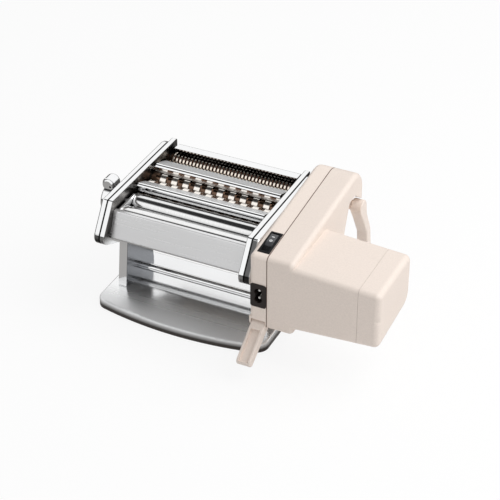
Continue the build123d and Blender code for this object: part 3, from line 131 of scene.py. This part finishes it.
class Graph:
    """A node material under construction, with object coordinates in metres."""

    def __init__(self, name, colour, metallic=0.0, roughness=0.5, gloss=0.5):
        self.material = bpy.data.materials.new(name)
        self.material.use_nodes = True
        self.nodes = self.material.node_tree.nodes
        self.links = self.material.node_tree.links
        self.shader = self.nodes["Principled BSDF"]
        self.shader.inputs["Base Color"].default_value = (*colour, 1.0)
        self.shader.inputs["Metallic"].default_value = metallic
        self.shader.inputs["Roughness"].default_value = roughness
        self.shader.inputs["Specular IOR Level"].default_value = gloss
        self.place = self.nodes.new("ShaderNodeTexCoord").outputs["Object"]

    def add(self, kind, **values):
        node = self.nodes.new("ShaderNode" + kind)
        for name, value in values.items():
            setattr(node, name, value)
        return node

    def feed(self, socket, source):
        self.links.new(source, self.shader.inputs[socket])

    def noise(self, scale, stretch=(1, 1, 1), detail=3.0, rough=0.55):
        """Noise with the given number of features per metre, stretched along each axis."""
        mapping = self.add("Mapping")
        mapping.inputs["Scale"].default_value = [scale / s for s in stretch]
        self.links.new(self.place, mapping.inputs["Vector"])
        noise = self.add("TexNoise")
        noise.inputs["Scale"].default_value = 1.0
        noise.inputs["Detail"].default_value = detail
        noise.inputs["Roughness"].default_value = rough
        self.links.new(mapping.outputs["Vector"], noise.inputs["Vector"])
        return noise.outputs["Fac"]

    def spread(self, source, low, high, start=0.3, end=0.7):
        """Turn a source between start and end into a value between low and high."""
        remap = self.add("MapRange")
        remap.inputs["From Min"].default_value = start
        remap.inputs["From Max"].default_value = end
        remap.inputs["To Min"].default_value = low
        remap.inputs["To Max"].default_value = high
        self.links.new(source, remap.inputs["Value"])
        return remap.outputs["Result"]

    def blend(self, factor, low, high):
        """Value between low and high by a factor from 0 to 1."""
        return self.spread(factor, low, high, 0.0, 1.0)

    def mixed(self, source, one, two, start=0.3, end=0.7):
        """Blend two colours by a source between start and end."""
        ramp = self.add("ValToRGB")
        for element, position, colour in zip(ramp.color_ramp.elements, (start, end), (one, two)):
            element.position = position
            element.color = (*colour, 1)
        self.links.new(source, ramp.inputs["Fac"])
        return ramp.outputs["Color"]

    def along(self, axis):
        """The place along one axis."""
        split = self.add("SeparateXYZ")
        self.links.new(self.place, split.inputs["Vector"])
        return split.outputs["XYZ".index(axis)]

    def off_line(self, axis, point):
        """Distance from a line along one axis through a point."""
        keep = [0.0 if letter == axis else 1.0 for letter in "XYZ"]
        flat = self.add("VectorMath", operation="MULTIPLY")
        flat.inputs[1].default_value = keep
        self.links.new(self.place, flat.inputs[0])
        away = self.add("VectorMath", operation="DISTANCE")
        away.inputs[1].default_value = [k * p for k, p in zip(keep, point)]
        self.links.new(flat.outputs[0], away.inputs[0])
        return away.outputs["Value"]

    def within(self, distance, full, none):
        """1 up to the distance full, falling to 0 at the distance none."""
        return self.spread(distance, 1.0, 0.0, full, none)

    def near(self, source, middle, full, none):
        """1 within the distance full of a value, falling to 0 at the distance none."""
        apart = self.add("Math", operation="SUBTRACT")
        apart.inputs[1].default_value = middle
        self.links.new(source, apart.inputs[0])
        size = self.add("Math", operation="ABSOLUTE")
        self.links.new(apart.outputs[0], size.inputs[0])
        return self.within(size.outputs[0], full, none)

    def paired(self, operation, one, two):
        """Two factors in one, by a math operation."""
        both = self.add("Math", operation=operation)
        self.links.new(one, both.inputs[0])
        self.links.new(two, both.inputs[1])
        return both.outputs[0]

    def over(self, factor, under, colour):
        """Lay a colour over another by a factor from 0 to 1."""
        mix = self.add("Mix", data_type="RGBA")
        self.links.new(factor, mix.inputs["Factor"])
        self.links.new(under, mix.inputs["A"])
        mix.inputs["B"].default_value = (*colour, 1)
        return mix.outputs["Result"]

    def shaded_in_corners(self, colour, reach=CORNER_REACH, dark=CORNER_DARK, open_unshaded=CORNER_OPEN):
        """Darken a colour in corners as painted shade, and leave it as it is on free faces."""
        hollow = self.add("AmbientOcclusion", samples=8)
        hollow.inputs["Distance"].default_value = reach
        dim = self.add("VectorMath", operation="SCALE")
        self.links.new(colour, dim.inputs[0])
        self.links.new(self.spread(hollow.outputs["AO"], dark, 1.0, 0.15, open_unshaded),
                       dim.inputs["Scale"])
        return dim.outputs[0]

    def plated(self, colour, patches=PATCHES, low=0.96):
        """Plating with faint soft patches."""
        return self.mixed(self.noise(patches), shade(colour, low), colour)

    def wiped(self, low, high):
        """Roughness of polished plating with faint wiping marks."""
        return self.spread(self.noise(WIPING, (3, 1, 1), 5), low, high)

    def bump(self, source, height):
        """Relief whose full depth is the given height in metres."""
        bump = self.add("Bump")
        bump.inputs["Strength"].default_value = 1.0
        bump.inputs["Distance"].default_value = height
        self.links.new(source, bump.inputs["Height"])
        self.feed("Normal", bump.outputs["Normal"])


def chrome(name, rough=(0.02, 0.06), dark=CORNER_DARK):
    """Bright plate with faint wiping marks and painted shade in its corners, as dark as asked."""
    graph = Graph(name, CHROME, metallic=1.0)
    graph.feed("Roughness", graph.wiped(*rough))
    graph.feed("Base Color", graph.shaded_in_corners(graph.plated(CHROME), dark=dark))
    return graph.material


def guard_look(name, node):
    """Chrome shield, polished round its bend and softer on its nose and its top, with painted shade
    in its corners.
    """
    low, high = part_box(node)
    graph = Graph(name, GUARD, metallic=1.0)
    top = graph.spread(graph.along("Y"), 0.0, 1.0, *(low.y + back for back in GUARD_TOP))
    nose = graph.spread(graph.along("Z"), 1.0, 0.0, *(high.z - down for down in GUARD_NOSE))
    graph.feed("Roughness", graph.blend(graph.paired("MAXIMUM", top, nose), 0.03, 0.34))
    graph.feed("Metallic", graph.blend(top, 1.0, 0.8))
    graph.feed("Base Color", graph.shaded_in_corners(graph.plated(GUARD)))
    return graph.material


def panel_look(name):
    """Satin panel with painted shade at its foot, where it turns under."""
    graph = Graph(name, PANEL, metallic=0.85)
    lines = graph.noise(PANEL_LINES, (60, 1, 1), 3, 0.5)
    graph.feed("Roughness", graph.spread(lines, 0.27, 0.31))
    skin = graph.mixed(graph.noise(PANEL_PATCHES, (3, 1, 1), 2), shade(PANEL, 0.86), PANEL)
    # painted shade along the panel's foot
    foot = graph.within(graph.along("Z"), *(PANEL_FOOT + up for up in PANEL_TURN))
    graph.feed("Base Color", graph.over(foot, skin, SHADE_BLACK))
    graph.bump(lines, 0.0000006)
    return graph.material


def leg_look(name, inside):
    """Chrome whose inward web is coloured darker and rougher."""
    graph = Graph(name, CHROME, metallic=1.0)
    web = graph.near(graph.along("X"), inside, *LEG_SKIN)
    graph.feed("Base Color", graph.over(web, graph.plated(CHROME), LEG_WEB))
    graph.feed("Roughness", graph.blend(web, 0.06, 0.25))
    return graph.material


def side_plate_look(name, inside, outside):
    """Chrome with a dull face beside the rollers, and painted shade on that face, in the joint with
    the cover and on a toe at its lower front corner."""
    graph = Graph(name, CHROME, metallic=1.0)
    across = graph.along("X")
    face = graph.paired("MULTIPLY", graph.near(across, inside, *INSIDE_SKIN),
                        graph.spread(graph.along("Z"), 0.0, 1.0, *INSIDE_RISE))
    toe = graph.paired("MULTIPLY", graph.within(graph.off_line("X", NOSE), *PLATE_TOE),
                       graph.near(across, outside, *PLATE_RIM))
    skin = graph.over(graph.near(across, outside, *JOINT_SHADE), graph.plated(CHROME), SHADE_BLACK)
    skin = graph.over(toe, skin, TOE_SHADE)
    graph.feed("Base Color", graph.over(face, skin, INSIDE_SHADE))
    graph.feed("Roughness", graph.blend(face, 0.04, 0.3))
    return graph.material


def cover_look(name, joint, front=0.0):
    """Chrome with painted shade in the joint with the side plate, on a toe at its lower front corner,
    and on its front slope beside the joint, as dark as asked."""
    graph = Graph(name, CHROME, metallic=1.0)
    across = graph.along("X")
    rim = graph.near(across, joint, *COVER_RIM)
    toe = graph.paired("MULTIPLY", graph.within(graph.off_line("X", NOSE), *COVER_TOE), rim)
    ahead = graph.spread(graph.along("Y"), front, 0.0, SLOPE - SLOPE_EDGE, SLOPE)
    skin = graph.over(toe, graph.plated(CHROME), TOE_SHADE)
    skin = graph.over(graph.paired("MULTIPLY", ahead, rim), skin, TOE_SHADE)
    graph.feed("Base Color", graph.over(graph.near(across, joint, *JOINT_SHADE), skin, SHADE_BLACK))
    graph.feed("Roughness", graph.wiped(0.03, 0.07))
    return graph.material


def base_look(name):
    """Plated sheet, polished under the rollers and softer where it reaches out in front, with a
    painted dark reflection low on its rim.
    """
    graph = Graph(name, CHROME, metallic=1.0)
    ahead = graph.within(graph.along("Y"), *(ORIGIN.y + back for back in BASE_AHEAD))
    graph.feed("Roughness", graph.blend(ahead, 0.14, 0.42))
    graph.feed("Metallic", graph.blend(ahead, 0.85, 0.3))
    rim = graph.within(graph.along("Z"), *BASE_RIM)
    skin = graph.plated(GUARD, BASE_PATCHES, 0.95)
    graph.feed("Base Color", graph.over(rim, skin, RIM_DARK_REFLECTION))
    return graph.material


def brushed(name, colour, rough, scale, stretch, depth=0.000004):
    """Metal with fine lines along the stretched direction, and painted shade in its corners."""
    graph = Graph(name, colour, metallic=1.0)
    lines = graph.noise(scale, stretch, 4, 0.6)
    skin = graph.mixed(lines, shade(colour, 0.9), colour)
    graph.feed("Roughness", graph.spread(lines, *rough))
    graph.feed("Base Color", graph.shaded_in_corners(skin, dark=0.1))
    graph.bump(lines, depth)
    return graph.material


def cutter_look(name, node, groove, rib, reach, dark):
    """Cutting roller: grooves coloured dark bronze-brown as painted shade, under bright rib crowns
    tinted warm as a painted reflection of the cream housing; painted shade in its corners too.
    """
    low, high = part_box(node)
    graph = Graph(name, rib, metallic=1.0)
    height = graph.spread(graph.off_line("X", (low + high) / 2), 0.0, 1.0, *RIB_EDGE)
    skin = graph.mixed(height, groove, rib, 0.15, 0.85)
    graph.feed("Base Color", graph.shaded_in_corners(skin, reach, dark, 0.7))
    graph.feed("Roughness", graph.spread(graph.noise(CUTTER_OIL, (1, 6, 6)), 0.10, 0.18))
    return graph.material


def moulded(name, colour, rough, grain=GRAIN, depth=0.00004, gloss=0.5):
    """Moulded plastic, paint or dull plating, with a fine grain and slight colour variation."""
    graph = Graph(name, colour, gloss=gloss)
    graph.feed("Roughness", graph.spread(graph.noise(SHEEN), *rough))
    graph.feed("Base Color", graph.mixed(graph.noise(MOTTLE), shade(colour, 0.96), colour))
    graph.bump(graph.noise(grain, detail=2), depth)
    return graph.material


def feet_look(name):
    """Black rubber whose studs end in plated heads, level with the base plate's top."""
    graph = Graph(name, RUBBER)
    head = graph.spread(graph.along("Z"), 0.0, 1.0, *(STUD_TOP - down for down in STUD_HEAD))
    skin = graph.mixed(graph.noise(MOTTLE), shade(RUBBER, 0.96), RUBBER)
    graph.feed("Base Color", graph.over(head, skin, shade(CHROME, 0.85)))
    graph.feed("Metallic", head)
    graph.feed("Roughness", graph.blend(head, 0.7, 0.3))
    graph.bump(graph.noise(GRAIN, detail=2), 0.00003)
    return graph.material


def rocker_look(name):
    """Glossy black rocker with the usual bar and ring, blackest at its lowered end."""
    low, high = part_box("switch_rocker")
    middle = (low + high) / 2
    graph = Graph(name, BLACK, gloss=0.6)
    along = graph.along("Y")
    back = graph.spread(along, 0.0, 1.0, *(middle.y + y for y in ROCKER_SHADE))
    skin = graph.mixed(back, BLACK, ROCKER_REAR, 0.0, 1.0)
    bar = graph.paired("MULTIPLY", graph.near(along, middle.y + BAR_Y, *BAR_THICK),
                       graph.near(graph.along("X"), middle.x, *BAR_HALF))
    centre = (middle.x, middle.y + RING_Y, 0.0)
    ring = graph.near(graph.off_line("Z", centre), RING_R, *RING_THICK)
    graph.feed("Base Color", graph.over(ring, graph.over(bar, skin, MARK), MARK))
    graph.feed("Roughness", graph.spread(graph.noise(ROCKER_SHEEN), 0.18, 0.28))
    return graph.material


def housing_look(name, level=1.0):
    """Ivory plastic with a drawn grain along the motor, and painted shade in the joints of the
    shells.
    """
    colour = shade(CREAM, level)
    graph = Graph(name, colour)
    across = graph.along("X")
    skin = graph.mixed(graph.noise(HOUSING_GRAIN, detail=4), shade(colour, 0.95),
                       shade(colour, 1.02))
    skin = graph.over(graph.near(across, SEAM, *SEAM_WIDTH), skin, SEAM_SHADE)
    skin = graph.over(graph.near(across, CAP_SEAM, *CAP_SEAM_WIDTH), skin, shade(CREAM, 0.92))
    graph.feed("Base Color", skin)
    graph.feed("Roughness", graph.spread(graph.noise(SHEEN), 0.42, 0.52))
    graph.bump(graph.noise(HOUSING_LINES, (30, 1, 1)), 0.00007)
    return graph.material


def cutter_pair(pair, *finish):
    """Finishes of the front and the rear cutting roller of a pair."""
    nodes = (pair + "_cutter_front", pair + "_cutter_rear")
    return {node: cutter_look(node + "_steel", node, *finish) for node in nodes}


# finishes by material slot
MATERIALS = {
    "chromed_steel": chrome("chromed_steel"),
    "satin_steel": brushed("satin_steel", PANEL, (0.26, 0.36), 900, (40, 1, 1)),
    "roller_steel": brushed("roller_steel", (0.90, 0.90, 0.90), (0.07, 0.11), 1500, (1, 30, 30),
                            0.0000005),
    "gear_steel": brushed("gear_steel", (0.60, 0.60, 0.60), (0.3, 0.45), 800, (1, 8, 8)),
    "screw_steel": brushed("screw_steel", (0.55, 0.55, 0.54), (0.3, 0.5), 900, (4, 4, 1)),
    "housing_plastic": housing_look("housing_plastic"),
    "knob_chrome": chrome("knob_chrome", (0.04, 0.08)),
    "nylon": moulded("nylon", (0.86, 0.84, 0.76), (0.4, 0.5)),
    "switch_plastic": moulded("switch_plastic", (0.012, 0.012, 0.013), (0.22, 0.32),
                              depth=0.00001),
    "inlet_plastic": moulded("inlet_plastic", (0.020, 0.013, 0.011), (0.35, 0.5)),
    "pin_brass": moulded("pin_brass", (0.95, 0.93, 0.89), (0.2, 0.3), 900, 0.000004),
    "foot_rubber": feet_look("foot_rubber"),
    "motor_steel": moulded("motor_steel", (0.05, 0.055, 0.06), (0.35, 0.45)),
}

# nodes whose own finish differs from the rest of their slot
OILY = brushed("oily_steel", (0.12, 0.10, 0.085), (0.3, 0.45), 900, (6, 1, 1))
OWN = {
    "left_side_plate": side_plate_look("left_plate_chrome", LEFT_INSIDE, LEFT_JOINT[0]),
    "right_side_plate": side_plate_look("right_plate_chrome", RIGHT_INSIDE, RIGHT_JOINT[0]),
    "left_side_cover": cover_look("left_cover_chrome", LEFT_JOINT[1]),
    "right_side_cover": cover_look("right_cover_chrome", RIGHT_JOINT[1], 0.9),
    # the inner shell is the same plastic as the others, coloured 6 % lighter as painted light
    "inner_housing": housing_look("inner_shell_plastic", 1.06),
    "switch_bezel": moulded("bezel_plastic", BLACK, (0.3, 0.4), depth=0.00001, gloss=0.12),
    "switch_rocker": rocker_look("rocker_plastic"),
    "left_leg": leg_look("left_leg_chrome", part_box("left_leg")[1].x),
    "right_leg": leg_look("right_leg_chrome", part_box("right_leg")[0].x),
    "front_guard": guard_look("front_guard_chrome", "front_guard"),
    "middle_guard": guard_look("middle_guard_chrome", "middle_guard"),
    "front_panel": panel_look("panel_satin"),
    "base_plate": base_look("base_chrome"),
    "roller_bushes": OILY,
    "roller_carriage": OILY,
    **{node: chrome(node + "_steel", (0.2, 0.3), 0.8)
       for node in ("wide_combs", "fine_combs", "front_scraper", "rear_scraper", "cheek_rods")},
    # each pair's first colour is painted shade in the grooves, its second a painted warm reflection
    # on the rib crowns
    **cutter_pair("wide", (0.16, 0.10, 0.07), (0.95, 0.90, 0.84), 0.007, 0.2),
    **cutter_pair("fine", (0.08, 0.045, 0.03), (0.93, 0.84, 0.74), 0.012, 0.4),
}

for row in frame["record"]["subparts"]:
    node = frame["nodes"][row["node"]]
    look = OWN.get(row["node"], MATERIALS[row["material_slot"]])
    if not node.material_slots:
        node.data.materials.append(look)
    for slot in node.material_slots:
        slot.material = look


# ---------------------------------------------------------------- stage, light and camera
def add_piece(name, data):
    """Object in the scene for a mesh, a lamp or a camera."""
    piece = bpy.data.objects.new(name, data)
    bpy.context.scene.collection.objects.link(piece)
    return piece


def aim(piece, at, target):
    """Put a lamp or camera at a point and turn it to another, both from the machine's origin."""
    piece.location = ORIGIN + at
    piece.rotation_euler = (target - at).to_track_quat("-Z", "Y").to_euler()


def mix_shaders(tree, factor, one, two):
    """The first shader where the factor is 0 and the second where it is 1."""
    mix = tree.nodes.new("ShaderNodeMixShader")
    for socket, source in zip(mix.inputs, (factor, one, two)):
        tree.links.new(source, socket)
    return mix.outputs[0]


def floor():
    """Pale floor. To the camera it is lifted towards white, and to gloss it ends a way off, as a
    table does."""
    mesh = bpy.data.meshes.new("floor")
    corners = [(FLOOR_HALF * x, FLOOR_HALF * y, 0) for x, y in ((-1, -1), (1, -1), (1, 1), (-1, 1))]
    mesh.from_pydata(corners, [], [(0, 1, 2, 3)])
    graph = Graph("floor", (0.95, 0.95, 0.95), roughness=0.9, gloss=0.0)
    tree = graph.material.node_tree
    light = graph.add("LightPath")

    glow = graph.add("Emission")
    glow.inputs["Color"].default_value = (1, 1, 1, 1)
    lift = graph.add("Math", operation="MULTIPLY")
    lift.inputs[1].default_value = FLOOR_LIFT
    tree.links.new(light.outputs["Is Camera Ray"], lift.inputs[0])
    lifted = mix_shaders(tree, lift.outputs[0], graph.shader.outputs[0], glow.outputs[0])

    away = graph.add("VectorMath", operation="DISTANCE")
    away.inputs[1].default_value = ORIGIN
    tree.links.new(graph.place, away.inputs[0])
    edge = graph.spread(away.outputs["Value"], 0.0, 1.0, *TABLE_REACH)
    table = graph.add("Emission")
    tree.links.new(graph.mixed(edge, TABLE_NEAR, TABLE_FAR, 0.0, 1.0), table.inputs["Color"])
    seen = mix_shaders(tree, light.outputs["Is Glossy Ray"], lifted, table.outputs[0])
    tree.links.new(seen, graph.nodes["Material Output"].inputs["Surface"])

    mesh.materials.append(graph.material)
    add_piece("floor", mesh)


def studio_world():
    """White to the camera, an even fill, and to gloss a bright tent over a dark horizon."""
    world = bpy.data.worlds.new("studio")
    bpy.context.scene.world = world
    world.use_nodes = True
    tree = world.node_tree
    tree.nodes.clear()
    light = tree.nodes.new("ShaderNodeLightPath")
    place = tree.nodes.new("ShaderNodeTexCoord")
    split = tree.nodes.new("ShaderNodeSeparateXYZ")
    ramp = tree.nodes.new("ShaderNodeValToRGB")
    tree.links.new(place.outputs["Generated"], split.inputs["Vector"])
    tree.links.new(split.outputs["Z"], ramp.inputs["Fac"])
    stops = ramp.color_ramp.elements
    for position, _ in GLOSS_RAMP[1:-1]:
        stops.new(position)
    for stop, (position, value) in zip(stops, GLOSS_RAMP):
        stop.position = position
        stop.color = (value, value, value, 1)

    fill, gloss, seen = (tree.nodes.new("ShaderNodeBackground") for _ in range(3))
    for background, strength in ((fill, FILL), (gloss, GLOSS_STRENGTH), (seen, 1.0)):
        background.inputs["Color"].default_value = (1, 1, 1, 1)
        background.inputs["Strength"].default_value = strength
    tree.links.new(ramp.outputs["Color"], gloss.inputs["Color"])
    mirrored = mix_shaders(tree, light.outputs["Is Glossy Ray"], fill.outputs[0], gloss.outputs[0])
    surface = mix_shaders(tree, light.outputs["Is Camera Ray"], mirrored, seen.outputs[0])
    tree.links.new(surface, tree.nodes.new("ShaderNodeOutputWorld").inputs["Surface"])


def key_lamp():
    data = bpy.data.lights.new("key", "AREA")
    data.shape, data.size, data.energy = "SQUARE", KEY_SIZE, KEY_POWER
    aim(add_piece("key", data), KEY_AT, KEY_AIM)


def camera():
    data = bpy.data.cameras.new("camera")
    data.lens, data.sensor_width = LENS, 36.0
    piece = add_piece("camera", data)
    aim(piece, CAMERA_AT, CAMERA_AIM)
    bpy.context.scene.camera = piece


floor()
studio_world()
key_lamp()
camera()
bpy.context.scene.view_settings.view_transform = "Standard"
